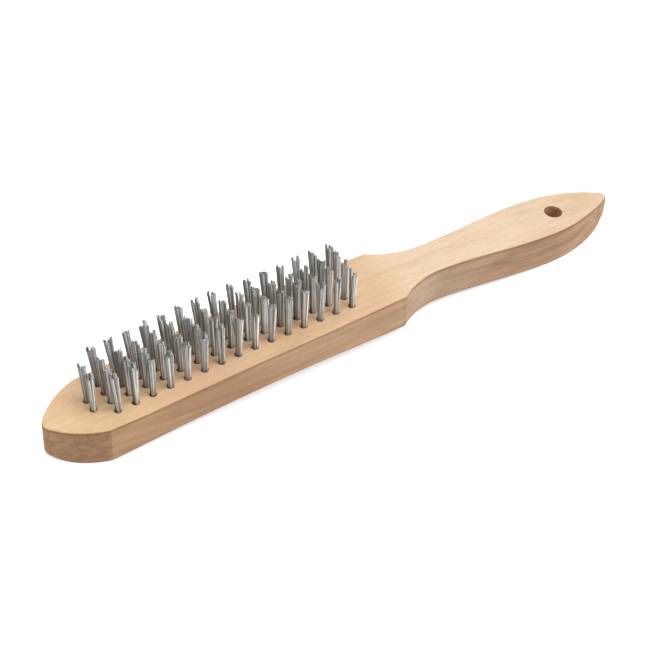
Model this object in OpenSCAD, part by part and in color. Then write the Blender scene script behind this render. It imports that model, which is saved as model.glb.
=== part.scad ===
/*
Four-row hand wire brush.

One piece of beech forms the brush head and the handle. The head carries
sixteen cross rows of drilled blind holes. Each hole holds a tuft of steel
wires, folded double over a flat steel anchor that is driven into the wood.
A hole through the handle end hangs the brush up.

Frame: the origin is on the bench, on the centreline, halfway along the
length. +X runs from the toe to the handle tip, +Z points the way the wires
stand, and the underside rests on the plane z = 0 at the toe and near the
handle tip. Positions along the brush are given from the toe tip.
*/

/* [Overall] */
// Overall length from the toe to the handle tip
overall_length = 290; // [288:1:296]

/* [Head] */
// Widest width of the head
head_width = 35.8; // [34.5:0.1:38]
// How much narrower the head is at its ends than at its middle, per side
head_bulge = 1.1; // [0.4:0.1:1.6]
// Length of the pointed toe, up to the corner with the long side
toe_length = 21.8; // [20:0.2:24]
// Radius of the two arcs that form the toe
toe_arc_r = 38; // [35:1:46]
// Radius of the blunted toe tip
toe_tip_r = 4.4; // [2:0.2:6]
// Thickness of the wood at the toe
toe_thickness = 17.1; // [16:0.1:20]
// Slope of the head's face against the bench, in degrees
head_slope = 1.88; // [1.2:0.01:2.2]
// Height of the crown in the middle of the head's face
crown_height = 1.1; // [0.4:0.1:1.6]

/* [Handle] */
// Width of the neck
neck_width = 18.4; // [16:0.2:22]
// Position of the narrowest point of the neck, from the toe
neck_x = 188.8; // [187:0.2:191]
// Radius of the cove between the heel of the head and the neck
cove_r = 40; // [38:1:44]
// Widest width of the handle
grip_width = 26.2; // [24:0.2:30]
// Position of the handle's widest point, from the toe
grip_x = 247.8; // [245:0.2:250]
// Radius of the blunted handle tip
end_tip_r = 2.6; // [1.6:0.2:4]
// Angle by which the handle's face falls away from the head's face
droop = 5; // [3.5:0.1:5.5]

/* [Underside] */
// Height of the underside's arch above the bench
arch_height = 5.9; // [3:0.1:6.5]
// Where the flat land under the toe starts, from the toe tip
toe_land_start = 9; // [4:1:12]
// Where the flat land under the toe ends, from the toe tip
toe_land_end = 23; // [19:1:28]
// Height that the underside rises from the land to the toe tip
toe_rise = 1.9; // [0.4:0.1:2.5]
// Position of the arch's highest point, from the toe
arch_x = 117.5; // [95:0.5:125]
// Position where the arch meets the land under the handle
arch_end = 261; // [254:1:264]
// Length of the land under the handle
end_land = 13; // [8:1:15]
// Height that the underside rises from that land to the handle tip
end_rise = 6.5; // [1:0.1:7]
// Height that the face falls away at the handle tip
end_fall = 1; // [0.2:0.1:2]

/* [Hanging hole] */
// Diameter of the hanging hole
hang_d = 8.3; // [6:0.1:10]
// Position of the hanging hole, from the toe
hang_x = 259; // [256:0.2:262]

/* [Tufts] */
// Distance between neighbouring cross rows
pitch_x = 8.05; // [7.9:0.05:8.2]
// Distance between neighbouring lengthwise rows
pitch_y = 5.81; // [5.4:0.01:6.2]
// Position of the first cross row, from the toe
first_row_x = 21.3; // [20.8:0.1:22.5]
// Length of wire that stands out of the wood
wire_height = 20; // [15:0.2:30]
// Diameter of one wire
wire_d = 0.35; // [0.3:0.01:0.36]
// Distance between neighbouring wires where they leave the fold
wire_gap = 0.4; // [0.4:0.01:0.42]
// Unevenness of the cut wire ends
wire_cut = 1.0; // [0:0.1:1.5]
// How far the wires of a tuft lean apart, in degrees at the tuft's edge
splay = 1.6; // [0:0.1:2]
// Outward lean of the outer lengthwise rows, in degrees
fan_outer = 2.2; // [0:0.1:4]
// Outward lean of the inner lengthwise rows, in degrees
fan_inner = 0.6; // [0:0.1:2]
// Diameter of a tuft hole
hole_d = 3.2; // [3.1:0.05:3.7]
// Depth of a tuft hole's straight wall
hole_depth = 9.2; // [8:0.1:10]

/* [Anchors] */
// Length of an anchor across its hole
anchor_length = 4.1; // [3.9:0.1:4.4]
// Height of an anchor along its hole
anchor_height = 1.8; // [1.4:0.1:2.2]
// Thickness of an anchor
anchor_thickness = 0.45; // [0.3:0.05:0.6]

/* [Hidden] */

$fn = 48;
rows = 16;                      // cross rows
line_count = 4;                 // lengthwise rows
overrun = 2;                    // side view's reach past both tips
block_stock = 60;               // extrusion of both views, more than the wood needs

crown_x = 86;                   // middle of the crown
crown_half = 60;                // half the crown's length
droop_start = 129;              // the face starts to fall away here
droop_end = 205;                // and is straight from here on
end_fall_x = 270;               // the face starts to fall to the handle tip here
end_land_x = arch_end + end_land; // the underside starts to rise to the tip here
toe_arch_power = 2.1;           // curve of the arch on its toe side
handle_arch_power = 1.2;        // and on its handle side
end_rise_power = 2.5;           // curve of the rise to the handle tip

bulge_x = 92;                   // widest point of the head
swell_x = neck_x - 2;           // the handle starts to swell here
heel_reach = 35;                // the heel is sought this far ahead of the neck

hang_drill_length = 60;
hang_drill_below = 40;          // reach of the hanging hole's drill below the face

drill_tip = 0.9;                // depth of the drill point
drill_above = 3;                // reach of the drill above the face
core_r = hole_d / 2 - 0.2;      // radius of the packed wires in the hole
core_top = -4;                  // the packed fold ends here, below the face
wire_root = core_top - 0.8;     // the wires start here, inside the fold
wire_margin = 0.02;             // least distance from a wire to the fold's edge
grid_reach = 5;                 // steps of the wire grid either side of its middle
anchor_z = -hole_depth + 1.2;   // underside of an anchor

// --- helpers ----------------------------------------------------------------

// Even steps from start to end, without the first ones when skip is set
function steps(start, end, count, skip = 0) =
    [for (i = [skip : count]) start + (end - start) * i / count];

// Points on an arc
function arc(centre, r, start, end, count, skip = 0) =
    [for (a = steps(start, end, count, skip)) centre + r * [cos(a), sin(a)]];

// Direction from one point to another, in degrees
function heading(from, to) = atan2(to[1] - from[1], to[0] - from[0]);

// Where the circle of radius r1 about c1 cuts that of radius r2 about c2,
// on the left of the line from c1 to c2
function circles_meet(c1, r1, c2, r2) =
    let (span = norm(c2 - c1),
         along = (c2 - c1) / span,
         reach = (r1 * r1 - r2 * r2 + span * span) / (2 * span),
         offset_left = sqrt(r1 * r1 - reach * reach))
    c1 + reach * along + offset_left * [-along[1], along[0]];

// --- side view of the wood --------------------------------------------------

// Raised middle of the head's face
function crown(x) = abs(x - crown_x) >= crown_half ? 0
    : crown_height * pow(cos(90 * (x - crown_x) / crown_half), 2);

// Fall of the handle's face below the head's face
function fall(x) = x <= droop_start ? 0
    : x < droop_end ? tan(droop) * pow(x - droop_start, 2) / (2 * (droop_end - droop_start))
    : tan(droop) * (x - (droop_start + droop_end) / 2);

// Further fall of the face at the handle tip
function tip_fall(x) = x <= end_fall_x ? 0
    : end_fall * pow((x - end_fall_x) / (overall_length - end_fall_x), 2);

// Height of the top face above the bench
function top_z(x) =
    toe_thickness + tan(head_slope) * x + crown(x) - fall(x) - tip_fall(x);

// Height of the underside above the bench
function under_z(x) =
    x < toe_land_start ? toe_rise * pow((toe_land_start - x) / toe_land_start, 2)
    : x <= toe_land_end ? 0
    : x <= arch_x ?
        arch_height * (1 - pow((arch_x - x) / (arch_x - toe_land_end), toe_arch_power))
    : x <= arch_end ?
        arch_height * (1 - pow((x - arch_x) / (arch_end - arch_x), handle_arch_power))
    : x <= end_land_x ? 0
    : end_rise * pow((min(x, overall_length) - end_land_x)
        / (overall_length - end_land_x), end_rise_power);

// Middle of cross row k, and the toe-side edge of the flat its holes sit on
function row_x(k) = first_row_x + k * pitch_x;
function row_edge(k) = row_x(k) - pitch_x / 2;

top_xs = concat(
    [-overrun, 8],
    [for (k = [0 : rows]) row_edge(k)],
    steps(row_edge(rows), droop_end, 12, skip = 1),
    steps(end_fall_x, overall_length + overrun, 7));
under_xs = concat(
    steps(-overrun, toe_land_start, 5),
    [toe_land_end],
    steps(toe_land_end, arch_x, 14, skip = 1),
    steps(arch_x, arch_end, 24, skip = 1),
    steps(end_land_x, overall_length, 10),
    [overall_length + overrun]);
side_outline = concat(
    [for (x = top_xs) [x, top_z(x)]],
    [for (i = [len(under_xs) - 1 : -1 : 0]) [under_xs[i], under_z(under_xs[i])]]);

// --- plan view of the wood --------------------------------------------------

// Half widths of the head, of the cove behind it and of the swelling handle
function head_half(x) =
    head_width / 2 - head_bulge * pow((x - bulge_x) / (bulge_x - toe_length), 2);
function cove_half(x) =
    neck_width / 2 + cove_r - sqrt(cove_r * cove_r - pow(neck_x - x, 2));
function grip_half(x) = neck_width / 2 + (grip_width - neck_width) / 2
    * (1 - cos(180 * (x - swell_x) / (grip_x - swell_x))) / 2;

// Heel corner, where the cove cuts the long side, by repeated halving
function find_heel(low, high, halvings) =
    let (middle = (low + high) / 2)
    halvings == 0 ? middle
    : cove_half(middle) > head_half(middle) ? find_heel(middle, high, halvings - 1)
    : find_heel(low, middle, halvings - 1);
heel_x = find_heel(neck_x - heel_reach, neck_x, 24);

// Toe arc, from the blunted tip that it flows into to the corner
toe_corner = [toe_length, head_half(toe_length)];
toe_tip_centre = [toe_tip_r, 0];
toe_centre = circles_meet(toe_corner, toe_arc_r, toe_tip_centre, toe_arc_r - toe_tip_r);
toe_touch = heading(toe_centre, toe_tip_centre);

// Arc that closes the handle, level at the widest point and flowing into the
// blunted tip
end_tip_centre = [overall_length - end_tip_r, 0];
end_run = end_tip_centre[0] - grip_x;
end_arc_r = (end_run * end_run + grip_width * grip_width / 4 - end_tip_r * end_tip_r)
    / (2 * (grip_width / 2 - end_tip_r));
end_centre = [grip_x, grip_width / 2 - end_arc_r];
end_touch = heading(end_centre, end_tip_centre);

// Outline on the +Y side, from the toe tip to the handle tip
half_outline = concat(
    arc(toe_tip_centre, toe_tip_r, 180, toe_touch, 5),
    arc(toe_centre, toe_arc_r, toe_touch, heading(toe_centre, toe_corner), 12, skip = 1),
    [for (x = steps(toe_length, heel_x, 14, skip = 1)) [x, head_half(x)]],
    [for (i = [1 : 10])
        let (x = heel_x + (swell_x - heel_x) * sin(9 * i)) [x, cove_half(x)]],
    [for (x = steps(swell_x, grip_x, 16, skip = 1)) [x, grip_half(x)]],
    arc(end_centre, end_arc_r, 90, end_touch, 12, skip = 1),
    arc(end_tip_centre, end_tip_r, end_touch, 0, 6, skip = 1));
plan_outline = concat(half_outline,
    [for (i = [len(half_outline) - 2 : -1 : 1]) [half_outline[i][0], -half_outline[i][1]]]);

// --- tuft positions ---------------------------------------------------------

// Lengthwise rows with a tuft in cross row k: the middle two in the first
// cross row, all four in the others
function lines(k) = k == 0 ? [1, 2] : [0, 1, 2, 3];
function line_y(j) = (j - (line_count - 1) / 2) * pitch_y;
line_fans = [fan_outer, fan_inner, -fan_inner, -fan_outer];

// Height of the middle of the flat that cross row k sits on
function flat_z(k) = (top_z(row_edge(k + 1)) + top_z(row_edge(k))) / 2;

// Puts its children at hole j of cross row k, with z = 0 at the wood's face.
// All holes are drilled square to the head's chord, apart from the fan across.
module at_hole(k, j) {
    translate([row_x(k), line_y(j), flat_z(k)])
        rotate([0, -head_slope, 0])
        rotate([line_fans[j], 0, 0])
        children();
}

// --- pieces -----------------------------------------------------------------

// Moves its children from the toe tip's frame to the part's frame
module place() {
    translate([-overall_length / 2, 0, 0]) children();
}

// A drilled blind hole with its pointed bottom
module drilled() {
    rotate_extrude() polygon([
        [0, -hole_depth - drill_tip],
        [hole_d / 2, -hole_depth],
        [hole_d / 2, drill_above],
        [0, drill_above]]);
}

// Flat steel anchor, driven across its hole
module anchor() {
    translate([-anchor_thickness / 2, -anchor_length / 2, anchor_z])
        cube([anchor_thickness, anchor_length, anchor_height]);
}

// Wire positions in a tuft, on a triangular grid inside the packed fold
wires = [for (a = [-grid_reach : grid_reach]) for (b = [-grid_reach : grid_reach])
    let (spot = wire_gap * [a + b / 2, b * sqrt(3) / 2])
    if (norm(spot) < core_r - wire_d / 2 - wire_margin) spot];

// Extra length of wire i, scattered by arbitrary angles that vary by tuft
function cut_extra(i, seed) =
    wire_cut * sin(137 * i + 61 * seed + 40 * sin(29 * i * (seed + 1)));

// One wire, leaning away from the middle of its tuft
module wire(i, seed) {
    spot = wires[i];
    translate([spot[0], spot[1], wire_root])
        rotate([0, 0, heading([0, 0], spot)])
        rotate([0, splay * norm(spot) / core_r, 0])
        cylinder(d = wire_d, h = wire_height - wire_root + cut_extra(i, seed), $fn = 16);
}

// Tuft of wires, folded double over the anchor and packed in the hole
module tuft(seed) {
    difference() {
        union() {
            translate([0, 0, -hole_depth]) cylinder(r = core_r, h = hole_depth + core_top);
            for (i = [0 : len(wires) - 1]) wire(i, seed);
        }
        anchor();
    }
}

module tufts_row(k) {
    color("silver") place() for (j = lines(k)) at_hole(k, j) tuft(line_count * k + j);
}

module anchors_row(k) {
    color("dimgray") place() for (j = lines(k)) at_hole(k, j) anchor();
}

module wooden_block() {
    color("burlywood") place() difference() {
        intersection() {
            linear_extrude(height = block_stock) polygon(plan_outline);
            translate([0, block_stock / 2, 0]) rotate([90, 0, 0])
                linear_extrude(height = block_stock) polygon(side_outline);
        }
        for (k = [0 : rows - 1]) for (j = lines(k)) at_hole(k, j) {
            drilled();
            anchor();
        }
        // Hanging hole, square to the handle's face
        translate([hang_x, 0, top_z(hang_x)]) rotate([0, droop - head_slope, 0])
            translate([0, 0, -hang_drill_below]) cylinder(d = hang_d, h = hang_drill_length);
    }
}

wooden_block();
tufts_row(0);  // tufts_row_01
tufts_row(1);  // tufts_row_02
tufts_row(2);  // tufts_row_03
tufts_row(3);  // tufts_row_04
tufts_row(4);  // tufts_row_05
tufts_row(5);  // tufts_row_06
tufts_row(6);  // tufts_row_07
tufts_row(7);  // tufts_row_08
tufts_row(8);  // tufts_row_09
tufts_row(9);  // tufts_row_10
tufts_row(10);  // tufts_row_11
tufts_row(11);  // tufts_row_12
tufts_row(12);  // tufts_row_13
tufts_row(13);  // tufts_row_14
tufts_row(14);  // tufts_row_15
tufts_row(15);  // tufts_row_16
anchors_row(0);  // anchors_row_01
anchors_row(1);  // anchors_row_02
anchors_row(2);  // anchors_row_03
anchors_row(3);  // anchors_row_04
anchors_row(4);  // anchors_row_05
anchors_row(5);  // anchors_row_06
anchors_row(6);  // anchors_row_07
anchors_row(7);  // anchors_row_08
anchors_row(8);  // anchors_row_09
anchors_row(9);  // anchors_row_10
anchors_row(10);  // anchors_row_11
anchors_row(11);  // anchors_row_12
anchors_row(12);  // anchors_row_13
anchors_row(13);  // anchors_row_14
anchors_row(14);  // anchors_row_15
anchors_row(15);  // anchors_row_16
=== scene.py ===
"""A wire brush: a beech block with a head, a waisted neck and a grip, and 16 rows of wire tufts.

The brush lies along x, toe at -x and grip end at +x, with the wires standing up (+z) out of the
head. The origin is halfway along its length, at the level of the surface it lies on. The front
is the -y side. Dimensions are in millimetres, turned into metres when a mesh is made.
"""
import math

import bmesh
import bpy
import numpy as np
from mathutils import Matrix, Vector


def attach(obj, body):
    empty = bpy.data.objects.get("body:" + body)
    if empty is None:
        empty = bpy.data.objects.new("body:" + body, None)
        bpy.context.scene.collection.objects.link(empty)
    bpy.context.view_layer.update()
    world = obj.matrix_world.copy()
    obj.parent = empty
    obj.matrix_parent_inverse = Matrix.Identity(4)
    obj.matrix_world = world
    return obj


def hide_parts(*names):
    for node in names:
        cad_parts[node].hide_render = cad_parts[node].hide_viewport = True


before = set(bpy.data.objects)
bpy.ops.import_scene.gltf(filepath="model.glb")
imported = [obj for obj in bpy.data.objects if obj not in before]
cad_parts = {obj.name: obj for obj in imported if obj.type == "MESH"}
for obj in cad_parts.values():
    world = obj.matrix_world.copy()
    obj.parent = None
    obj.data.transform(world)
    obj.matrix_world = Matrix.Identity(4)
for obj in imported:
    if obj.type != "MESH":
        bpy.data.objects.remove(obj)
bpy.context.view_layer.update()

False        # a bare value, which does nothing
MM = 0.001

# --- dimensions: every ..._X is measured from the toe tip ----------------------
LENGTH = 290.0
# plan outline
HEAD_WIDTH, HEAD_BULGE, BULGE_X = 35.8, 1.1, 92.0
TOE_LENGTH, TOE_ARC_RADIUS, TOE_TIP_RADIUS = 21.8, 38.0, 4.4
NECK_WIDTH, NECK_X, COVE_RADIUS = 18.4, 188.8, 40.0
GRIP_WIDTH, GRIP_X, END_TIP_RADIUS = 26.2, 247.8, 2.6
SWELL_X = NECK_X - 2                     # where the cove gives way to the grip's swell
# top face; slope and droop are in degrees
TOE_THICKNESS, HEAD_SLOPE, DROOP = 17.1, 1.88, 5.0
CROWN_HEIGHT, CROWN_X, CROWN_HALF = 1.1, 86.0, 60.0
DROOP_START_X, DROOP_FULL_X = 129.0, 205.0
END_FALL, END_FALL_X = 1.0, 270.0
# underside
TOE_RISE, TOE_RISE_X, TOE_LAND_X = 1.9, 9.0, 23.0
ARCH_HEIGHT, ARCH_X, ARCH_END_X = 5.9, 117.5, 261.0
END_LAND, END_RISE = 13.0, 6.5
# rounding of the two arrises
TOP_ROUND, BOTTOM_ROUND = 0.6, 0.9
QUARTER_TURN = [math.pi / 2 * i / 5 for i in range(6)]
# hanging hole
HANG_DIAMETER, HANG_X, HANG_LIP = 8.3, 259.0, 0.14
# tuft holes: four lines along the head, fanned by these degrees
ROWS, ROW_PITCH, LINE_PITCH, FIRST_ROW_X = 16, 8.05, 5.81, 21.3
FAN = (2.2, 0.6, -0.6, -2.2)
HOLE_DIAMETER, HOLE_DEPTH = 3.2, 9.2
# wires and the anchors they are folded over
WIRE_HEIGHT, WIRE_DIAMETER = 20.0, 0.35
ANCHOR_HEIGHT, ANCHOR_THICKNESS = 1.8, 0.45

TOP_GRADIENT = math.tan(math.radians(HEAD_SLOPE))
DROOP_GRADIENT = math.tan(math.radians(DROOP))


def top_z(x):
    """Height of the top face along the middle of the brush."""
    x = np.asarray(x, float)
    crown = np.where(np.abs(x - CROWN_X) < CROWN_HALF,
                     CROWN_HEIGHT * np.cos(np.pi / 2 * (x - CROWN_X) / CROWN_HALF) ** 2, 0)
    bending = DROOP_GRADIENT * (x - DROOP_START_X) ** 2 / (2 * (DROOP_FULL_X - DROOP_START_X))
    straight = DROOP_GRADIENT * (x - (DROOP_START_X + DROOP_FULL_X) / 2)
    fall = np.where(x <= DROOP_START_X, 0, np.where(x < DROOP_FULL_X, bending, straight))
    tip = END_FALL * (np.clip(x - END_FALL_X, 0, None) / (LENGTH - END_FALL_X)) ** 2
    return TOE_THICKNESS + TOP_GRADIENT * x + crown - fall - tip


def under_z(x):
    """Height of the underside: toe rise and land, long arch, end land and end rise."""
    x = np.asarray(x, float)

    def part(distance, span):
        return np.clip(distance, 0, None) / span
    end_land_x = ARCH_END_X + END_LAND
    toe = TOE_RISE * part(TOE_RISE_X - x, TOE_RISE_X) ** 2
    arch_up = ARCH_HEIGHT * (1 - part(ARCH_X - x, ARCH_X - TOE_LAND_X) ** 2.1)
    arch_down = ARCH_HEIGHT * (1 - part(x - ARCH_X, ARCH_END_X - ARCH_X) ** 1.2)
    end = END_RISE * part(x - ARCH_END_X - END_LAND, LENGTH - end_land_x) ** 2.5
    return np.where(x <= TOE_LAND_X, toe,
                    np.where(x <= ARCH_X, arch_up, np.where(x <= ARCH_END_X, arch_down, end)))


# --- plan outline ---------------------------------------------------------------
def head_half(x):
    return HEAD_WIDTH / 2 - HEAD_BULGE * ((x - BULGE_X) / (BULGE_X - TOE_LENGTH)) ** 2


def cove_half(x):
    return NECK_WIDTH / 2 + COVE_RADIUS - math.sqrt(COVE_RADIUS ** 2 - (NECK_X - x) ** 2)


def grip_half(x):
    turn = math.pi * (x - SWELL_X) / (GRIP_X - SWELL_X)
    return NECK_WIDTH / 2 + (GRIP_WIDTH - NECK_WIDTH) / 2 * (1 - math.cos(turn)) / 2


def find_heel_x():
    """Where the cove meets the side of the head, by halving."""
    low, high = NECK_X - 35, NECK_X
    for _ in range(40):
        middle = (low + high) / 2
        if cove_half(middle) > head_half(middle):
            low = middle
        else:
            high = middle
    return (low + high) / 2


def meet(p, p_radius, q, q_radius):
    """The point p_radius from p and q_radius from q, to the left of the way from p to q."""
    p, q = np.array(p, float), np.array(q, float)
    d = np.linalg.norm(q - p)
    along = (q - p) / d
    a = (p_radius * p_radius - q_radius * q_radius + d * d) / (2 * d)
    return p + a * along + math.sqrt(p_radius * p_radius - a * a) * np.array([-along[1], along[0]])


def steps_to(start, stop, count):
    """Even steps from start, which is left out, to stop."""
    return [start + (stop - start) * i / count for i in range(1, count + 1)]


def arc(centre, radius, start, stop, count):
    return [(centre[0] + radius * math.cos(a), centre[1] + radius * math.sin(a))
            for a in steps_to(start, stop, count)]


def run(half_width, start, stop, count):
    return [(x, half_width(x)) for x in steps_to(start, stop, count)]


def half_outline(heel_x):
    """Closely spaced half of the plan outline, from the toe tip to the grip tip."""
    toe_half = head_half(TOE_LENGTH)
    toe_centre = meet((TOE_LENGTH, toe_half), TOE_ARC_RADIUS,
                      (TOE_TIP_RADIUS, 0), TOE_ARC_RADIUS - TOE_TIP_RADIUS)
    toe_touch = math.atan2(-toe_centre[1], TOE_TIP_RADIUS - toe_centre[0])
    toe_stop = math.atan2(toe_half - toe_centre[1], TOE_LENGTH - toe_centre[0])
    # the arc that leaves the grip's widest place and touches the end tip
    end_run = LENGTH - END_TIP_RADIUS - GRIP_X
    end_radius = ((end_run ** 2 + GRIP_WIDTH ** 2 / 4 - END_TIP_RADIUS ** 2)
                  / (2 * (GRIP_WIDTH / 2 - END_TIP_RADIUS)))
    end_centre = (GRIP_X, GRIP_WIDTH / 2 - end_radius)
    end_touch = math.atan2(-end_centre[1], end_run)
    return np.array(
        [(0.0, 0.0)]
        + arc((TOE_TIP_RADIUS, 0), TOE_TIP_RADIUS, math.pi, toe_touch, 60)
        + arc(toe_centre, TOE_ARC_RADIUS, toe_touch, toe_stop, 240)
        + run(head_half, TOE_LENGTH, heel_x, 1400)
        + run(cove_half, heel_x, SWELL_X, 300)
        + run(grip_half, SWELL_X, GRIP_X, 600)
        + arc(end_centre, end_radius, math.pi / 2, end_touch, 500)
        + arc((LENGTH - END_TIP_RADIUS, 0), END_TIP_RADIUS, end_touch, 0, 60))


def at_distances(points, distances, wanted):
    return np.c_[np.interp(wanted, distances, points[:, 0]),
                 np.interp(wanted, distances, points[:, 1])]


def soften(points, distances, corner, passes, radius=1.6):
    """Round a standing corner as sanding does."""
    weight = np.exp(-((distances - corner) / radius) ** 2)
    for _ in range(passes):
        mean = points.copy()
        mean[1:-1] = (points[:-2] + 2 * points[1:-1] + points[2:]) / 4
        points = points + (mean - points) * weight[:, None]
    return points


def plan_stations():
    """Stations on the half outline: distances, points, outward normals, toe and heel corners."""
    heel_x = find_heel_x()
    outline = half_outline(heel_x)
    walked = np.r_[0, np.cumsum(np.linalg.norm(np.diff(outline, axis=0), axis=1))]
    total = walked[-1]
    fine = np.linspace(0, total, 3200)
    toe_corner, heel_corner = (float(np.interp(x, outline[:, 0], walked))
                               for x in (TOE_LENGTH, heel_x))
    smooth = soften(at_distances(outline, walked, fine), fine, toe_corner, passes=60)
    smooth = soften(smooth, fine, heel_corner, passes=40)

    # close together at the tips and the corners, wider on the long runs
    widest_gap, gap_growth = 1.7, 0.16
    gap = np.full(len(fine), widest_gap)
    # place, width of the close zone, gap within it
    for place, width, close_gap in ((0, 6, 0.28), (toe_corner, 3.0, 0.3),
                                    (heel_corner, 3.0, 0.3), (total, 6, 0.25)):
        beyond = np.clip(np.abs(fine - place) - width * 0.5, 0, None)
        gap = np.minimum(gap, close_gap + beyond * gap_growth)
    count = np.r_[0, np.cumsum(np.diff(fine) / ((gap[1:] + gap[:-1]) / 2))]
    distances = np.interp(np.linspace(0, count[-1], int(round(count[-1])) + 1), count, fine)
    points = at_distances(smooth, fine, distances)
    points[0] = (0, 0)
    points[-1] = (LENGTH, 0)

    # the outline is mirrored past both tips to find the direction there
    mirror = [1, -1]
    extended = np.r_[[points[1] * mirror], points, [points[-2] * mirror]]
    tangent = extended[2:] - extended[:-2]
    tangent /= np.linalg.norm(tangent, axis=1)[:, None]
    normals = np.c_[-tangent[:, 1], tangent[:, 0]]
    normals[0], normals[-1] = (-1, 0), (1, 0)
    return distances, points, normals, toe_corner, heel_corner


# --- shader graphs ----------------------------------------------------------------
class NodeGraph:
    """Short ways to add and link shader nodes."""

    def __init__(self, tree):
        self.tree = tree

    def add(self, kind, **settings):
        node = self.tree.nodes.new(kind)
        for key, value in settings.items():
            setattr(node, key, value)
        return node

    def put(self, socket, value):
        if isinstance(value, bpy.types.NodeSocket):
            self.tree.links.new(value, socket)
        else:
            socket.default_value = value

    def math(self, operation, a, b=0.0, c=None, clamp=False):
        node = self.add("ShaderNodeMath", operation=operation, use_clamp=clamp)
        self.put(node.inputs[0], a)
        self.put(node.inputs[1], b)
        if c is not None:
            self.put(node.inputs[2], c)
        return node.outputs[0]

    def times(self, a, b):
        return self.math("MULTIPLY", a, b)

    def scale_add(self, value, scale, offset):
        return self.math("MULTIPLY_ADD", value, scale, offset)

    def vector(self, operation, a, b):
        node = self.add("ShaderNodeVectorMath", operation=operation)
        self.put(node.inputs[0], a)
        self.put(node.inputs[1], b)
        return node.outputs[0]

    def position_mm(self):
        source = self.add("ShaderNodeTexCoord").outputs["Object"]
        return self.vector("MULTIPLY", source, (1000, 1000, 1000))

    def split(self, vector):
        node = self.add("ShaderNodeSeparateXYZ")
        self.put(node.inputs[0], vector)
        return node.outputs

    def noise(self, position, frequency, shift=None, detail=2.0, rough=0.5, distortion=0.0):
        """Noise with its own frequency per mm along x, y and z."""
        position = self.vector("MULTIPLY", position, frequency)
        if shift:
            position = self.vector("ADD", position, shift)
        node = self.add("ShaderNodeTexNoise", noise_dimensions="3D")
        for name, value in (("Vector", position), ("Scale", 1.0), ("Detail", detail),
                            ("Roughness", rough), ("Distortion", distortion)):
            self.put(node.inputs[name], value)
        return node.outputs[0]

    def cells(self, position, frequency):
        position = self.vector("MULTIPLY", position, frequency)
        node = self.add("ShaderNodeTexVoronoi", feature="F1", voronoi_dimensions="3D")
        for name, value in (("Vector", position), ("Scale", 1.0), ("Randomness", 1.0)):
            self.put(node.inputs[name], value)
        return node.outputs

    def rise(self, value, low, high):
        """0 at low and below, 1 at high and above, smooth between."""
        node = self.add("ShaderNodeMapRange", interpolation_type="SMOOTHSTEP")
        for socket, setting in zip(node.inputs, (value, low, high)):
            self.put(socket, setting)
        return node.outputs[0]

    def fall(self, value, low, high):
        """1 at low and below, 0 at high and above."""
        return self.math("SUBTRACT", 1.0, self.rise(value, low, high))

    def band(self, value, rise, fall):
        """1 between two ranges: up over the first, down over the second."""
        return self.times(self.rise(value, *rise), self.fall(value, *fall))

    def mix(self, factor, a, b, mode="MIX"):
        node = self.add("ShaderNodeMix", data_type="RGBA", blend_type=mode)
        node.clamp_factor = True
        self.put(node.inputs[0], factor)
        for socket, colour in ((node.inputs[6], a), (node.inputs[7], b)):
            self.put(socket, (*colour, 1) if isinstance(colour, tuple) else colour)
        return node.outputs[2]

    def multiplied(self, colour, tint):
        return self.mix(1.0, colour, tint, mode="MULTIPLY")

    def tinted(self, colour, tint, mask, strength=None):
        """The colour multiplied by a tint where the mask is, at most by strength."""
        if strength is not None:
            mask = self.times(mask, strength)
        return self.mix(mask, colour, self.multiplied(colour, tint))

    def attribute(self, name):
        node = self.add("ShaderNodeAttribute", attribute_type="GEOMETRY", attribute_name=name)
        return node.outputs["Fac"]

    def bump(self, height, strength, distance):
        node = self.add("ShaderNodeBump")
        for name, value in (("Strength", strength), ("Distance", distance), ("Height", height)):
            self.put(node.inputs[name], value)
        return node.outputs[0]


class MaterialGraph(NodeGraph):
    def __init__(self, name):
        self.material = bpy.data.materials.new(name)
        self.material.use_nodes = True
        super().__init__(self.material.node_tree)
        self.tree.nodes.clear()

    def finish(self, inputs):
        """Close the graph with a Principled shader and give the material."""
        output = self.add("ShaderNodeOutputMaterial")
        shader = self.add("ShaderNodeBsdfPrincipled")
        for name, value in inputs.items():
            self.put(shader.inputs[name], value)
        self.tree.links.new(shader.outputs[0], output.inputs[0])
        return self.material


def linear(*display):
    """Linear colour from display values of 0 to 255."""
    return tuple(c / 255 / 12.92 if c <= 10 else ((c / 255 + 0.055) / 1.055) ** 2.4
                 for c in display)


# --- beech --------------------------------------------------------------------------
# The planed face by place along the brush; the darker middle, among the tufts, is painted shade
# from the wires
WOOD_HEAD = linear(236, 202, 160)
WOOD_MIDDLE_SHADED = linear(224, 188, 152)
WOOD_HANDLE = linear(234, 209, 180)
WOOD_END = linear(229, 201, 171)
# What multiplies it on the sides, round the toe, in the cove and in the holes: the browner sides
# and duller toe are partly the wood's own sawn edges and end grain and partly painted shade, the
# lighter cove is painted light, and the darker holes are painted shade
SIDE_TINT_AND_SHADE = (0.84, 0.765, 0.745)
TOE_TINT_AND_SHADE = (0.82, 0.79, 0.79)
COVE_PAINTED_LIGHT = (1.10, 1.15, 1.17)
BORE_SHADE_TINT = (0.86, 0.78, 0.72)
FLECK_TINT = (0.66, 0.56, 0.48)


def grain_position(g, position):
    """Position with a slow sideways wander of the grain; also its y and z."""
    x, y, z = g.split(position)
    wander = (g.noise(position, (0.007, 0.03, 0.03), detail=1.0),
              g.noise(position, (0.009, 0.035, 0.035), shift=(31, 7, 3), detail=1.0))
    reach = 7.0
    y, z = (g.scale_add(g.math("SUBTRACT", noise, 0.5), reach, axis)
            for noise, axis in zip(wander, (y, z)))
    node = g.add("ShaderNodeCombineXYZ")
    for socket, value in zip(node.inputs, (x, y, z)):
        g.put(socket, value)
    return node.outputs[0], y, z


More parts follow.
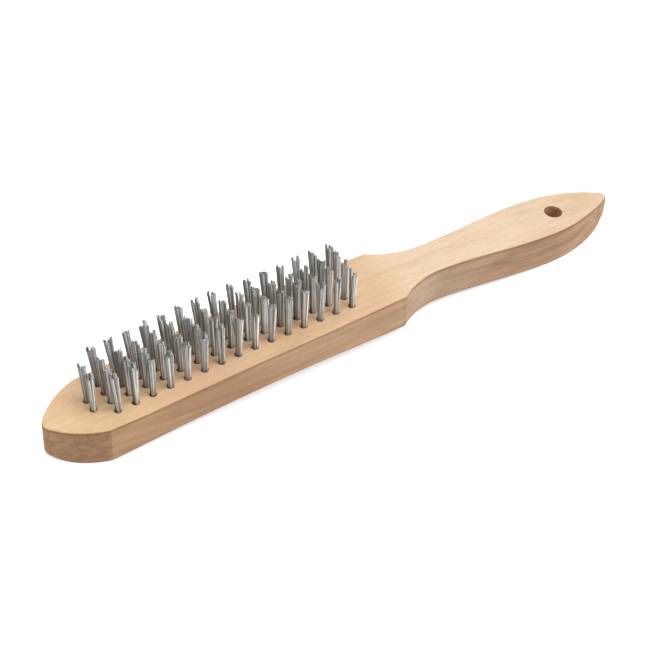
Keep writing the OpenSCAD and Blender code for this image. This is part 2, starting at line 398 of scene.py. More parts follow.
def late_wood(g, y, z):
    """Growth rings round a heart below the blank and on its front side."""
    heart_y, heart_z, rings_per_mm = 46.0, 30.0, 0.46
    y = g.math("ADD", y, heart_y)
    z = g.math("ADD", z, heart_z)
    radius = g.math("SQRT", g.math("ADD", g.times(y, y), g.times(z, z)))
    ring = g.math("FRACT", g.times(radius, rings_per_mm))
    return g.band(ring, rise=(0.35, 0.90), fall=(0.90, 1.0))


def planed_colour(g, position, x, late, fibre, fine_fibre, flecks, pores):
    """Creamy wood with yellower and pinker patches; x is in mm from the middle."""
    patch = g.noise(position, (0.035, 0.13, 0.13), detail=3.0, rough=0.6, distortion=0.4)
    hue = g.noise(position, (0.022, 0.10, 0.10), shift=(5, 9, 2), detail=2.5, rough=0.6)
    mottle = g.noise(position, (0.28, 0.62, 0.62), rough=0.55)
    base = g.mix(g.rise(x, -30.0, 50.0), WOOD_HEAD, WOOD_HANDLE)
    # the darker middle, among the tufts, is painted shade from the wires
    middle = g.band(x, rise=(-115.0, -80.0), fall=(5.0, 30.0))
    base = g.mix(g.times(middle, 0.9), base, WOOD_MIDDLE_SHADED)
    base = g.mix(g.times(g.rise(x, 70.0, 130.0), 0.8), base, WOOD_END)
    pinker, yellower = (1.02, 0.955, 0.93), (0.985, 1.0, 0.90)
    colour = g.tinted(base, pinker, g.rise(hue, 0.46, 0.70), strength=0.55)
    colour = g.mix(g.times(g.fall(hue, 0.28, 0.48), 0.5), colour, g.multiplied(base, yellower))
    # tint, mask and strength of each layer of figure
    for tint, mask, strength in (
            ((0.90, 0.85, 0.80), g.rise(patch, 0.42, 0.74), 0.75),
            ((0.88, 0.82, 0.76), g.rise(fibre, 0.44, 0.76), 0.46),
            ((0.80, 0.74, 0.68), late, 0.16),
            ((0.82, 0.77, 0.72), g.rise(fine_fibre, 0.46, 0.78), 0.34),
            ((0.88, 0.84, 0.82), g.rise(mottle, 0.42, 0.72), 0.42),
            (FLECK_TINT, flecks, 0.22),
            (FLECK_TINT, pores, 0.10)):
        colour = g.tinted(colour, tint, mask, strength)
    return colour


def side_colour_and_shade(g, planed, position, grain, x, normal_x, side):
    """Sawn and profiled edges: browner and streakier than the planed face, and partly darkened
    with painted shade; the cove is lightened with painted light.
    """
    colour = g.multiplied(planed, SIDE_TINT_AND_SHADE)
    streak = g.noise(grain, (0.014, 0.34, 0.34), shift=(11, 5, 2), detail=3.5, rough=0.66)
    fine_streak = g.noise(grain, (0.05, 1.3, 1.3), shift=(3, 15, 8), rough=0.6)
    streakiness = g.scale_add(g.rise(x, 40.0, 70.0), 0.34, 0.62)     # stronger on the grip
    for tint, mask, strength in (
            ((0.72, 0.65, 0.60), g.rise(streak, 0.42, 0.66), streakiness),
            ((1.14, 1.13, 1.12), g.fall(streak, 0.30, 0.47), 0.55),
            ((0.78, 0.73, 0.70), g.rise(fine_streak, 0.46, 0.76), 0.40)):
        colour = g.tinted(colour, tint, mask, strength)

    # across the grain at the toe: duller, partly as end grain and partly as painted shade, with
    # upright mottling
    upright = g.noise(position, (1.1, 1.1, 0.35), detail=3.0, rough=0.65)
    broad = g.noise(position, (0.25, 0.25, 0.20), shift=(9, 1, 4))
    toe = g.multiplied(colour, TOE_TINT_AND_SHADE)
    toe = g.tinted(toe, (0.80, 0.76, 0.74), g.rise(upright, 0.40, 0.72), strength=0.45)
    toe = g.tinted(toe, (0.86, 0.82, 0.80), g.rise(broad, 0.40, 0.70), strength=0.40)
    colour = g.mix(g.times(g.attribute("toe"), side), colour, toe)

    end_facing = g.rise(g.math("ABSOLUTE", normal_x), 0.45, 0.9)
    # tint and mask by place: cove (painted light), grip, grip end, back half of the head and the
    # neck, nose, and the turn of the end tip
    for tint, mask in (
            (COVE_PAINTED_LIGHT, g.times(g.attribute("cove"), side)),
            ((0.985, 0.925, 0.87), g.rise(x, 52.0, 75.0)),
            ((1.09, 1.09, 1.06), g.band(x, rise=(104.0, 118.0), fall=(136.0, 141.0))),
            ((1.15, 1.22, 1.22), g.band(x, rise=(-62.0, -38.0), fall=(17.0, 21.0))),
            ((1.20, 1.20, 1.22), g.fall(x, -144.0, -134.0)),
            ((0.66, 0.64, 0.60), g.times(end_facing, g.rise(x, 128.0, 134.0)))):
        colour = g.tinted(colour, tint, mask)
    return colour


def wood_material(name, bore=False):
    g = MaterialGraph(name)
    position = g.position_mm()
    x = g.split(position)[0]
    grain, grain_y, grain_z = grain_position(g, position)
    late = late_wood(g, grain_y, grain_z)
    fibre = g.noise(grain, (0.030, 0.62, 0.62), detail=3.0, rough=0.62)
    fine_fibre = g.noise(grain, (0.09, 2.3, 2.3), rough=0.6)
    # flecks stand in some of the long cells only
    cells = g.cells(grain, (0.40, 2.4, 2.4))
    pick = g.add("ShaderNodeSeparateColor")
    g.put(pick.inputs[0], cells["Color"])
    flecks = g.times(g.fall(cells["Distance"], 0.14, 0.42), g.rise(pick.outputs[0], 0.50, 0.95))
    pores = g.fall(g.cells(grain, (0.9, 5.2, 5.2))["Distance"], 0.08, 0.34)

    normal = g.split(g.add("ShaderNodeNewGeometry").outputs["Normal"])
    # upright faces count as sides; their darker tint is partly painted shade
    side = g.fall(g.math("ABSOLUTE", normal[2]), 0.25, 0.8)
    planed = planed_colour(g, position, x, late, fibre, fine_fibre, flecks, pores)
    colour = g.mix(side, planed, side_colour_and_shade(g, planed, position, grain, x, normal[0], side))
    # rubbed, slightly browned top arrises, and painted shade along the rounded bottom arris
    rubbing = g.scale_add(g.noise(position, (0.10, 0.3, 0.3), detail=3.0), 0.8, 0.30)
    wear_and_shade = g.math("MULTIPLY", g.attribute("edge"), rubbing, clamp=True)
    colour = g.tinted(colour, (0.60, 0.50, 0.38), wear_and_shade)
    # painted shade in the holes
    if bore:
        colour = g.multiplied(colour, BORE_SHADE_TINT)

    height = g.scale_add(fine_fibre, 0.6, g.times(pores, -0.5))
    height = g.math("ADD", height, g.times(flecks, -0.35))
    height = g.math("ADD", height, g.times(fibre, 0.5))
    return g.finish({"Base Color": colour,
                     "Roughness": g.scale_add(fine_fibre, 0.18, 0.48),
                     "Specular IOR Level": 0.30,
                     "Normal": g.bump(height, strength=0.35, distance=0.00012)})


# --- steel ----------------------------------------------------------------------------
def steel_material(name, base, dark, metallic):
    g = MaterialGraph(name)
    position = g.position_mm()
    own = g.attribute("wire_rnd")
    streak = g.noise(position, (6.0, 6.0, 0.25))
    patch = g.noise(position, (1.2, 1.2, 0.4))
    brightness = g.scale_add(streak, 0.30, g.times(own, 0.75))
    brightness = g.scale_add(patch, 0.20, brightness)
    colour = g.mix(g.rise(brightness, 0.15, 1.05), dark, base)
    # painted shade low down among the wires
    colour = g.tinted(colour, (0.66, 0.66, 0.66), g.fall(g.attribute("wire_up"), 0.0, 9.0))
    # the far side of a bundle is duller than the side that the light reaches
    colour = g.mix(g.fall(g.attribute("wire_lit"), -0.8, 0.6),
                   g.multiplied(colour, (1.10, 1.10, 1.10)),
                   g.multiplied(colour, (0.58, 0.58, 0.57)))
    # the cut ends are dark
    colour = g.tinted(colour, (0.66, 0.66, 0.65), g.rise(g.attribute("wire_end"), 0.72, 0.97))
    rough = g.scale_add(own, 0.12, g.scale_add(streak, 0.16, 0.26))
    return g.finish({"Base Color": colour, "Metallic": metallic, "Roughness": rough,
                     "Normal": g.bump(streak, strength=0.25, distance=0.00002)})


BEECH = wood_material("beech")
BEECH_BORE = wood_material("beech_bore", bore=True)
WIRE_STEEL = steel_material("steel_wire", base=(0.90, 0.91, 0.89), dark=(0.27, 0.27, 0.26),
                            metallic=0.45)
ANCHOR_STEEL = steel_material("anchor_steel", base=(0.48, 0.48, 0.48), dark=(0.24, 0.24, 0.24),
                              metallic=0.9)


# --- mesh helpers -----------------------------------------------------------------------
def smooth_faces(mesh):
    mesh.polygons.foreach_set("use_smooth", [True] * len(mesh.polygons))


def add_object(name, data):
    thing = bpy.data.objects.new(name, data)
    bpy.context.scene.collection.objects.link(thing)
    return thing


def new_mesh(name, verts, faces, material):
    """A smooth mesh object from vertices in metres."""
    mesh = bpy.data.meshes.new(name)
    mesh.from_pydata(verts, [], faces)
    mesh.update()
    thing = add_object(name, mesh)
    mesh.materials.append(material)
    smooth_faces(mesh)
    return thing


def add_attributes(thing, values_by_name):
    for name, values in values_by_name.items():
        attribute = thing.data.attributes.new(name, "FLOAT", "POINT")
        attribute.data.foreach_set("value", np.array(values, np.float32))


class Parts:
    """Vertices and faces of several pieces gathered into one mesh."""

    def __init__(self):
        self.verts, self.faces = [], []

    def add(self, verts, faces):
        start = len(self.verts)
        self.verts.extend(verts)
        self.faces.extend(tuple(i + start for i in face) for face in faces)

    def metres(self):
        return (np.array(self.verts) * MM).tolist()


# --- wooden block -------------------------------------------------------------------------
def wall_layers():
    """Rings of the wall from the underside's rim to the top's: inset, kind, offset.

    The offset is up from the underside, down from the top, or a share of the wall between.
    """
    layers = [(BOTTOM_ROUND * (1 - math.sin(a)), "bottom", BOTTOM_ROUND * (1 - math.cos(a)))
              for a in QUARTER_TURN]
    layers.append((0.0, "bottom", BOTTOM_ROUND + 0.5))
    layers += [(0.0, "between", share) for share in (0.18, 0.34, 0.5, 0.66, 0.82)]
    layers += [(0.0, "top", TOP_ROUND + 0.9), (0.0, "top", TOP_ROUND + 0.35)]
    layers += [(TOP_ROUND * (1 - math.cos(a)), "top", TOP_ROUND * (1 - math.sin(a)))
               for a in QUARTER_TURN]
    return layers


def layer_shape(inset, kind, offset, x):
    """Heights of a wall ring, and how much its arris is darkened: rubbed wear at the top, painted
    shade at the bottom.
    """
    top, under = top_z(x), under_z(x)
    if kind == "bottom":
        # the rounded bottom arris is darkened as painted shade
        wear_and_shade = offset < BOTTOM_ROUND * 0.8 and inset < BOTTOM_ROUND * 0.9
        return under + offset, 0.6 if wear_and_shade else 0.0
    if kind == "top":
        wear_and_shade = inset < TOP_ROUND * 0.65 and offset < TOP_ROUND + 0.5
        return top - offset, 1.0 if wear_and_shade else 0.0
    span = top - TOP_ROUND - 0.9 - under - BOTTOM_ROUND - 0.5
    return under + BOTTOM_ROUND + 0.5 + span * offset, 0.0


def add_cap(verts, faces, start, loop_size, stations, order):
    """Close the ring at start with strips across; order is 1 or -1 for the facing."""
    across = 14
    previous = None
    for i in range(stations):
        if i in (0, stations - 1):
            current = [start + i]
        else:
            front, back = start + i, start + loop_size - i
            current = [front]
            x, y_front, z = verts[front]
            y_back = verts[back][1]
            for k in range(1, across):
                verts.append((x, y_front + (y_back - y_front) * (k / across), z))
                current.append(len(verts) - 1)
            current.append(back)
        if previous is not None:
            for k in range(across):
                if len(previous) == 1:
                    face = (previous[0], current[k], current[k + 1])
                elif len(current) == 1:
                    face = (previous[k], current[0], previous[k + 1])
                else:
                    face = (previous[k], current[k], current[k + 1], previous[k + 1])
                faces.append(face[::order])
        previous = current


def build_blank():
    """The block before drilling, with its edge, toe and cove marks."""
    distances, points, normals, toe_corner, heel_corner = plan_stations()
    stations = len(points)
    toe = np.where(distances < toe_corner - 0.15, 1.0, 0.0)
    cove = (np.clip((distances - heel_corner) / 0.4, 0, 1)
            * np.clip((191.0 - points[:, 0]) / 8.0, 0, 1))
    # each ring runs along the front side to the end tip and back along the back side
    loop = ([(i, -1) for i in range(stations)] + [(i, 1) for i in range(stations - 2, 0, -1)])
    size = len(loop)
    verts, faces = [], []
    marks = {"edge": [], "toe": [], "cove": []}
    layers = wall_layers()
    for inset, kind, offset in layers:
        ring = points - normals * inset
        ring[0, 1] = ring[-1, 1] = 0
        z, edge = layer_shape(inset, kind, offset, np.clip(ring[:, 0], 0, LENGTH))
        for i, y_sign in loop:
            verts.append((ring[i, 0], y_sign * ring[i, 1], z[i]))
            marks["edge"].append(edge)
            marks["toe"].append(toe[i])
            marks["cove"].append(cove[i])
    for low in range(0, (len(layers) - 1) * size, size):
        high = low + size
        for i in range(size):
            j = (i + 1) % size
            faces.append((low + i, low + j, high + j, high + i))
    add_cap(verts, faces, (len(layers) - 1) * size, size, stations, order=1)
    add_cap(verts, faces, 0, size, stations, order=-1)
    placed = np.array(verts)
    placed[:, 0] -= LENGTH / 2
    blank = new_mesh("beech_block", (placed * MM).tolist(), faces, BEECH)
    cap_marks = [0.0] * (len(verts) - size * len(layers))
    add_attributes(blank, {name: values + cap_marks for name, values in marks.items()})
    return blank


def revolve(profile, segments, place):
    """Closed solid round local z from (radius, z) pairs, bottom axis point to top one."""
    start_turn = 0.37        # part of a segment, to stay off the blank's grid lines
    verts, faces = [], []
    lower = None
    for radius, z in profile:
        first = len(verts)
        if radius == 0:
            verts.append((0, 0, z))
        else:
            for k in range(segments):
                a = 2 * math.pi * (k + start_turn) / segments
                verts.append((radius * math.cos(a), radius * math.sin(a), z))
        upper = list(range(first, len(verts)))
        if lower is not None:
            for k in range(segments):
                j = (k + 1) % segments
                if len(lower) == 1:
                    faces.append((lower[0], upper[j], upper[k]))
                elif len(upper) == 1:
                    faces.append((lower[k], lower[j], upper[0]))
                else:
                    faces.append((lower[k], lower[j], upper[j], upper[k]))
        lower = upper
    return [tuple(place @ Vector(v)) for v in verts], faces


def hole_place(row, line):
    """A tuft hole's frame, and the height of the wood's face in it."""
    x = FIRST_ROW_X + row * ROW_PITCH
    z = (float(top_z(x - ROW_PITCH / 2)) + float(top_z(x + ROW_PITCH / 2))) / 2
    place = (Matrix.Translation((x - LENGTH / 2, (line - 1.5) * LINE_PITCH, z))
             @ Matrix.Rotation(math.radians(-HEAD_SLOPE), 4, "Y")
             @ Matrix.Rotation(math.radians(FAN[line]), 4, "X"))
    return place, float(top_z(x)) - z


def lines_in(row):
    """The first row, at the toe, has only the two middle lines."""
    return (1, 2) if row == 0 else (0, 1, 2, 3)


def tuft_hole(row, line):
    place, face = hole_place(row, line)
    radius = HOLE_DIAMETER / 2
    profile = [(0, -HOLE_DEPTH - 0.9), (radius, -HOLE_DEPTH), (radius, -2.0 + face),
               (radius, -0.10 + face), (radius + 0.03, -0.03 + face),
               (radius + 0.09, 0.04 + face), (radius + 0.4, 0.35 + face), (0, 0.35 + face)]
    return revolve(profile, 36, place)


def hanging_hole():
    """A through hole with rounded lips, square to the top of the handle."""
    tilt = math.radians(DROOP - HEAD_SLOPE)
    top = float(top_z(HANG_X))
    place = Matrix.Translation((HANG_X - LENGTH / 2, 0, top)) @ Matrix.Rotation(tilt, 4, "Y")
    depth = top * math.cos(tilt)
    radius, lip = HANG_DIAMETER / 2, HANG_LIP
    over, flare = 2.0, 2.3          # how far the cutter stands out and widens past the wood
    profile = [(0, -depth - over), (radius + flare, -depth - over)]
    profile += [(radius + lip * (1 - math.sin(a)), -depth + lip * (1 - math.cos(a)))
                for a in QUARTER_TURN]
    profile += [(radius, -depth + lip + (depth - 2 * lip) * share)
                for share in (0.2, 0.4, 0.6, 0.8)]
    profile += [(radius + lip * (1 - math.cos(a)), -lip + lip * math.sin(a))
                for a in QUARTER_TURN]
    profile += [(radius + flare, over), (0, over)]
    return revolve(profile, 72, place)


def build_cutters():
    parts = Parts()
    for row in range(ROWS):
        for line in lines_in(row):
            parts.add(*tuft_hole(row, line))
    parts.add(*hanging_hole())
    return new_mesh("cutters", parts.metres(), parts.faces, BEECH_BORE)


def merge_slivers(mesh):
    """Merge away the edges of a few microns that drilling leaves."""
    bm = bmesh.new()
    bm.from_mesh(mesh)
    bmesh.ops.remove_doubles(bm, verts=bm.verts[:], dist=0.006 * MM)
    bmesh.ops.dissolve_degenerate(bm, edges=bm.edges[:], dist=0.004 * MM)
    bmesh.ops.delete(bm, geom=[v for v in bm.verts if not v.link_faces], context="VERTS")
    bmesh.ops.triangulate(bm, faces=[f for f in bm.faces if len(f.verts) > 4])
    bm.to_mesh(mesh)
    bm.free()


def build_block():
    blank = build_blank()
    cutters = build_cutters()
    drill = blank.modifiers.new("drill", "BOOLEAN")
    drill.operation = "DIFFERENCE"
    drill.solver = "EXACT"
    drill.object = cutters
    drill.material_mode = "TRANSFER"
    bpy.context.view_layer.update()
    depsgraph = bpy.context.evaluated_depsgraph_get()
    mesh = bpy.data.meshes.new_from_object(
        blank.evaluated_get(depsgraph), preserve_all_data_layers=True, depsgraph=depsgraph)
    block = add_object("wooden_block_shaped", mesh)
    for used in (blank, cutters):
        bpy.data.objects.remove(used)
    merge_slivers(mesh)
    smooth_faces(mesh)
    mesh.set_sharp_from_angle(angle=math.radians(32))
    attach(block, "root")
    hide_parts("wooden_block")


# --- wire tufts -----------------------------------------------------------------------------
WIRE_SIDES = 8
WIRES = 18                  # folded wires in a tuft, so twice as many ends
BASE_RADIUS = 1.20          # the legs' centres stay inside this radius at the hole
LEG_PITCH = 0.353           # distance between packed legs
FOLD_PITCH = 0.355          # distance between the layers of the fold
# The fold: 7, 6 and 5 wires lie over each other across the anchor, so its corners stay inside
# the round hole. Each wire has its y and its layer.
FOLD = sorted(((i - (count - 1) / 2) * 0.356, layer)
              for layer, count in enumerate((7, 6, 5)) for i in range(count))
# Shares of the height at which an upright leg has its points
LEG_SHARES = (0.0, 0.08, 0.2, 0.36, 0.54, 0.72, 0.87, 1.0)
# How much shorter some tufts at the toe stand, by row and line
SHORTER = {(0, 1): 1.0, (0, 2): 0.3, (1, 1): 1.6, (1, 2): 0.9}
# Across a bundle towards the handle and the front, where the light comes from
LIT_DIRECTION = np.array([0.62, -0.78]) / BASE_RADIUS
# Standard deviations, in mm, of the scatter within a tuft
BASE_SCATTER, TIP_SCATTER, LEG_HEIGHT_SCATTER = 0.012, 0.035, 0.26
BUNDLE_LEAN_SCATTER, BUNDLE_HEIGHT_SCATTER = 0.10, 0.85
STRAY_SCATTER, TUFT_LEAN_SCATTER, TUFT_SHIFT_SCATTER = 0.7, 0.16, 0.03
LEG_BOW, BUNDLE_BOW = 0.008, 0.03
# Ranges of a tuft's spread, a bundle's widening and a stray's change of height
SPREAD, WIDENING, STRAY_HEIGHT = (0.58, 0.96), (1.14, 1.38), (-1.5, 0.9)
TUFT_SHIFT = np.array([0.17, 0.05])


def packed_legs(rng):
    """Legs where they leave the hole: positions, the bundle of each, and bundle centres.

    The fold leaves the legs in two halves, one on each side of the anchor. Each half stands in
    one to three tightly packed bundles with slits between them.
    """
    i, j = np.meshgrid(np.arange(-8, 9), np.arange(-8, 9))
    for _ in range(400):
        a = rng.uniform(0, math.pi)
        shift_x, shift_y = rng.uniform(-0.5, 0.5, 2) * LEG_PITCH
        grid = np.c_[(i + j / 2).ravel() * LEG_PITCH + shift_x,
                     (j * math.sqrt(3) / 2).ravel() * LEG_PITCH + shift_y]
        grid = grid @ np.array([[math.cos(a), math.sin(a)], [-math.sin(a), math.cos(a)]])
        grid = grid[np.linalg.norm(grid, axis=1) < BASE_RADIUS]
        legs, bundles, centres = [], [], []
        for side in (-1, 1):
            half = grid[grid[:, 0] * side > 0]
            count = int(rng.choice((1, 2, 2, 3)))
            seed_y = ((np.arange(count) - (count - 1) / 2) * 1.7 / count
                      + rng.uniform(-0.2, 0.2, count))
            seeds = np.c_[side * rng.uniform(0.35, 0.8, count), seed_y]
            distance = np.sqrt(((half[:, None] - seeds[None]) ** 2).sum(2))
            nearest = distance.argmin(1)
            # the legs furthest from the slits are kept
            to_slit = np.abs(half[:, 0])
            if count > 1:
                ordered = np.sort(distance, axis=1)
                to_slit = np.minimum(to_slit, (ordered[:, 1] - ordered[:, 0]) / 2)
            best = np.argsort(-to_slit)[:WIRES]
            if len(best) < WIRES:
                break
            kept, owner = half[best], nearest[best]
            legs.append(kept)
            bundles.append(owner + len(centres))
            centres.extend([kept[owner == q].mean(0) if (owner == q).any() else seeds[q]
                            for q in range(count)])
        else:
            return np.concatenate(legs), np.concatenate(bundles), np.array(centres)
    raise RuntimeError("the legs do not fit their hole")


def leg_path(base, tip, height, bow, wire_y, inner_x):
    """One leg from beside the anchor up to its cut end."""
    anchor_bottom = -HOLE_DEPTH + 1.2
    path = [(inner_x, wire_y, anchor_bottom + 0.1),
            (inner_x, wire_y, anchor_bottom + ANCHOR_HEIGHT),
            ((inner_x + base[0]) / 2, (wire_y + base[1]) / 2, -4.2),
            (base[0], base[1], -1.6)]
    for share in LEG_SHARES:
        out = share ** 1.05
        bowed = math.sin(math.pi * min(share * 1.1, 1.0))
        path.append((base[0] + (tip[0] - base[0]) * out + bow[0] * bowed,
                     base[1] + (tip[1] - base[1]) * out + bow[1] * bowed, height * share))
    return path


def tuft_wires(seed, lean, full_height):
    """Paths of one tuft's folded wires in its hole's frame: (wires, points, 3)."""
    rng = np.random.default_rng(seed)
    base, bundle, centres = packed_legs(rng)
    bundles = len(centres)
    base += rng.normal(0, BASE_SCATTER, base.shape)
    spread = rng.uniform(*SPREAD)
    bundle_lean = (centres * (spread + rng.normal(0, BUNDLE_LEAN_SCATTER, bundles))[:, None]
                   + rng.normal(0, BUNDLE_LEAN_SCATTER, (bundles, 2)))
    bundle_height = rng.normal(0, BUNDLE_HEIGHT_SCATTER, bundles) - 0.4 * centres[:, 0]
    widening = rng.uniform(*WIDENING, bundles)
    tip = (centres[bundle] + (base - centres[bundle]) * widening[bundle][:, None]
           + bundle_lean[bundle] + rng.normal(0, TIP_SCATTER, base.shape))
    # the middle of a tuft stands a little higher than its rim
    rim = np.linalg.norm(base, axis=1) / BASE_RADIUS
    height = (full_height - 0.25 + bundle_height[bundle]
              + rng.normal(0, LEG_HEIGHT_SCATTER, len(base)) - 0.1 * rim ** 2)
    # up to two strays
    for i in rng.choice(len(base), int(rng.integers(0, 3)), replace=False):
        tip[i] += rng.normal(0, STRAY_SCATTER, 2)
        height[i] += rng.uniform(*STRAY_HEIGHT)
    height = np.clip(height, full_height - 2.8, full_height + 0.95)
    tip += np.array(lean) + rng.normal(0, TUFT_LEAN_SCATTER, 2)
    shift = TUFT_SHIFT + rng.normal(0, TUFT_SHIFT_SCATTER, 2)
    base = base + shift
    tip = tip + shift
    # each wire's own slow bow on its way up
    bow = (rng.normal(0, LEG_BOW, base.shape)
           + rng.normal(0, BUNDLE_BOW, (bundles, 2))[bundle])

    # a leg on the -x side of the anchor is paired with one on the +x side, in order of y
    low_side, high_side = np.arange(WIRES), np.arange(WIRES, 2 * WIRES)
    low_side = low_side[np.argsort(base[low_side, 1])]
    high_side = high_side[np.argsort(base[high_side, 1])]
    anchor_bottom = -HOLE_DEPTH + 1.2
    paths = []
    for i, j, (wire_y, layer) in zip(low_side, high_side, FOLD):
        inner_x = ANCHOR_THICKNESS / 2 + 0.2 + FOLD_PITCH * layer
        fold_z = anchor_bottom - 0.19 - FOLD_PITCH * layer
        down = leg_path(base[i], tip[i], height[i], bow[i], wire_y, -inner_x)[::-1]
        up = leg_path(base[j], tip[j], height[j], bow[j], wire_y, inner_x)
        bend = [(-inner_x * math.cos(math.pi * turn), wire_y,
                 fold_z + (anchor_bottom + 0.1 - fold_z) * (1 - math.sin(math.pi * turn)))
                for turn in (0.25, 0.5, 0.75)]
        paths.append(down + bend + up)
    return np.array(paths)


def unit(vectors):
    return vectors / np.linalg.norm(vectors, axis=2)[..., None]


def tubes(paths, radius):
    """Vertices and faces of capped tubes along paths."""
    wires, points, _ = paths.shape
    tangent = np.empty_like(paths)
    tangent[:, 1:-1] = paths[:, 2:] - paths[:, :-2]
    tangent[:, 0] = paths[:, 1] - paths[:, 0]
    tangent[:, -1] = paths[:, -1] - paths[:, -2]
    tangent = unit(tangent)
    along_y = np.zeros_like(paths)
    along_y[..., 1] = 1.0
    across = unit(np.cross(along_y, tangent))
    other = np.cross(tangent, across)
    a = 2 * np.pi * np.arange(WIRE_SIDES) / WIRE_SIDES
    rings = (paths[:, :, None, :]
             + radius * (np.cos(a)[None, None, :, None] * across[:, :, None, :]
                         + np.sin(a)[None, None, :, None] * other[:, :, None, :]))
    faces = []
    for wire in range(wires):
        start = wire * points * WIRE_SIDES
        end = start + (points - 1) * WIRE_SIDES
        for low in range(start, end, WIRE_SIDES):
            high = low + WIRE_SIDES
            for i in range(WIRE_SIDES):
                j = (i + 1) % WIRE_SIDES
                faces.append((low + i, low + j, high + j, high + i))
        faces.append(tuple(range(start, start + WIRE_SIDES))[::-1])
        faces.append(tuple(range(end, end + WIRE_SIDES)))
    return rings.reshape(-1, 3), faces


def tuft_lean(row, line):
    """Where the tips of a tuft stand off its hole's axis, along and across the brush."""
    u = (row - 8) / 8
    if line == 0:
        return 0.05 + 0.32 * u, 0.0
    if line == 3:
        return -0.45 + 0.35 * u, 0.55 - 0.45 * u
    return -0.1 + 0.2 * u, (line - 1.5) * 0.15


def wire_marks(paths, seed):
    """What the steel reads at each path point; the two legs of a wire differ."""
    rng = np.random.default_rng(seed)
    half = paths.shape[1] // 2
    own, lit, ends = (np.zeros(paths.shape[:2]) for _ in range(3))
    own[:, :half] = rng.random(len(paths))[:, None]
    own[:, half:] = rng.random(len(paths))[:, None]
    middle = paths[:, 3:4, :2].mean(0) * 0.5 + paths[:, -4:-3, :2].mean(0) * 0.5
    lit[:, :half] = ((paths[:, 4:5, :2] - middle) * LIT_DIRECTION).sum(2)
    lit[:, half:] = ((paths[:, -5:-4, :2] - middle) * LIT_DIRECTION).sum(2)
    ends[:, 0] = ends[:, -1] = 1.0
    return {"wire_rnd": own, "wire_up": paths[:, :, 2], "wire_lit": lit, "wire_end": ends}


def build_tuft_row(row):
    parts = Parts()
    marks = {"wire_rnd": [], "wire_up": [], "wire_lit": [], "wire_end": []}
    for line in lines_in(row):
        place, face = hole_place(row, line)
        height = WIRE_HEIGHT + face - SHORTER.get((row, line), 0.0)
        paths = tuft_wires(1000 + 37 * row + line, tuft_lean(row, line), height)
        verts, faces = tubes(paths, WIRE_DIAMETER / 2)
        parts.add(verts @ np.array(place.to_3x3()).T + np.array(place.translation), faces)
        for name, values in wire_marks(paths, 500 + 17 * row + line).items():
            marks[name].extend(np.repeat(values.ravel(), WIRE_SIDES))
    tufts = new_mesh("wire_tufts_%02d" % (row + 1), parts.metres(), parts.faces, WIRE_STEEL)
    add_attributes(tufts, marks)
    tufts.data.set_sharp_from_angle(angle=math.radians(60))
    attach(tufts, "root")
    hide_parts("tufts_row_%02d" % (row + 1))
    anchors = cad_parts["anchors_row_%02d" % (row + 1)]
    anchors.data.materials.clear()
    anchors.data.materials.append(ANCHOR_STEEL)
    return tufts


# --- floor, world, lights and camera ------------------------------------------------------------
def build_floor():
    """A near-white floor that throws less light back than it shows."""
    g = MaterialGraph("floor")
    ray = g.add("ShaderNodeLightPath").outputs
    shown, bounced = (0.97, 0.97, 0.97), (0.42, 0.42, 0.42)
    material = g.finish({"Base Color": g.mix(ray["Is Diffuse Ray"], shown, bounced),
                         "Roughness": 0.9,
                         "Specular IOR Level": 0.0,
                         "Emission Color": (1.0, 1.0, 1.0, 1.0),
                         "Emission Strength": g.times(ray["Is Camera Ray"], 0.5)})
    # a hair below the wood's two lands, so that no faces coincide
    z = -0.1 * MM
    reach = 6                # metres
    corners = [(-reach, -reach, z), (reach, -reach, z), (reach, reach, z), (-reach, reach, z)]
    new_mesh("floor", corners, [(0, 1, 2, 3)], material)


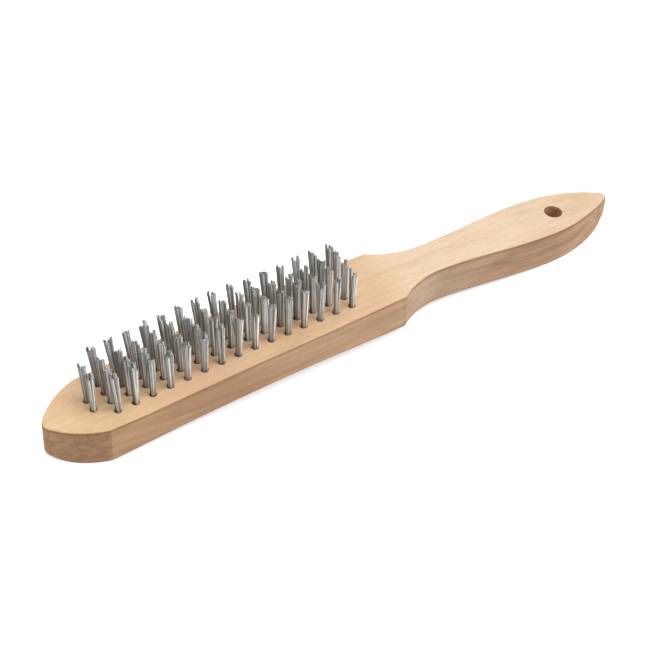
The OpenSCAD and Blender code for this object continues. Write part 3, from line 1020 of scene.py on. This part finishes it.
def build_world():
    """A soft dome, brighter overhead and towards the handle than at the horizon."""
    horizon, overhead, towards_handle = 0.42, 1.0, 0.10
    world = bpy.data.worlds.new("studio")
    bpy.context.scene.world = world
    world.use_nodes = True
    g = NodeGraph(world.node_tree)
    direction = g.split(g.add("ShaderNodeTexCoord").outputs["Generated"])
    dome = g.add("ShaderNodeMapRange")
    for socket, value in zip(dome.inputs, (direction[2], 0.0, 0.9, horizon, overhead)):
        g.put(socket, value)
    strength = g.scale_add(direction[0], towards_handle, dome.outputs[0])
    # the backdrop itself is plain white, so the floor has no visible end
    seen = g.add("ShaderNodeMix", data_type="FLOAT")
    g.put(seen.inputs[0], g.add("ShaderNodeLightPath").outputs["Is Camera Ray"])
    g.put(seen.inputs[2], strength)
    g.put(seen.inputs[3], 1.0)
    background = world.node_tree.nodes["Background"]
    g.put(background.inputs[0], (1.0, 1.0, 1.0, 1))
    g.put(background.inputs[1], seen.outputs[0])


def add_sun(name, towards, energy, angle, receivers=None):
    """A sun that stands in the given direction; angle is its size in degrees."""
    light = bpy.data.lights.new(name, "SUN")
    light.energy = energy
    light.angle = math.radians(angle)
    sun = bpy.data.objects.new(name, light)
    sun.rotation_euler = Vector(towards).to_track_quat("Z", "Y").to_euler()
    bpy.context.scene.collection.objects.link(sun)
    if receivers:
        sun.light_linking.receiver_collection = receivers


def build_lights(tufts):
    add_sun("key", towards=(0.38, -0.42, 0.82), energy=1.15, angle=40)
    wires_only = bpy.data.collections.new("wires_only")
    for tuft_row in tufts:
        wires_only.objects.link(tuft_row)
    # a lower light for the wires alone, from the front and the handle's side
    add_sun("wire_light", towards=(0.55, -0.72, 0.42), energy=2.2, angle=12,
            receivers=wires_only)
    # and a weaker one from behind, for the wires' far side
    add_sun("wire_fill", towards=(0.12, 0.85, 0.42), energy=0.9, angle=20,
            receivers=wires_only)


def build_camera():
    """A camera above the front of the toe, turned in a frame that slopes with the head."""
    location = Vector((-333.18999, -469.86438, 534.83204)) * MM
    azimuth, elevation, roll = -33.014, 43.843, -0.096           # degrees
    data = bpy.data.cameras.new("camera")
    camera = add_object("camera", data)
    data.sensor_width = 36.0
    data.lens = 99.326769
    data.clip_start, data.clip_end = 0.05, 20
    matrix = Matrix.Translation(location)
    for degrees, axis in ((-HEAD_SLOPE, "Y"), (azimuth, "Z"), (90 - elevation, "X"),
                          (roll, "Z")):
        matrix = matrix @ Matrix.Rotation(math.radians(degrees), 4, axis)
    camera.matrix_world = matrix
    scene = bpy.context.scene
    scene.camera = camera
    scene.view_settings.view_transform = "Standard"
    scene.view_settings.look = "None"


build_block()
tuft_rows = [build_tuft_row(row) for row in range(ROWS)]
build_floor()
build_world()
build_lights(tuft_rows)
build_camera()
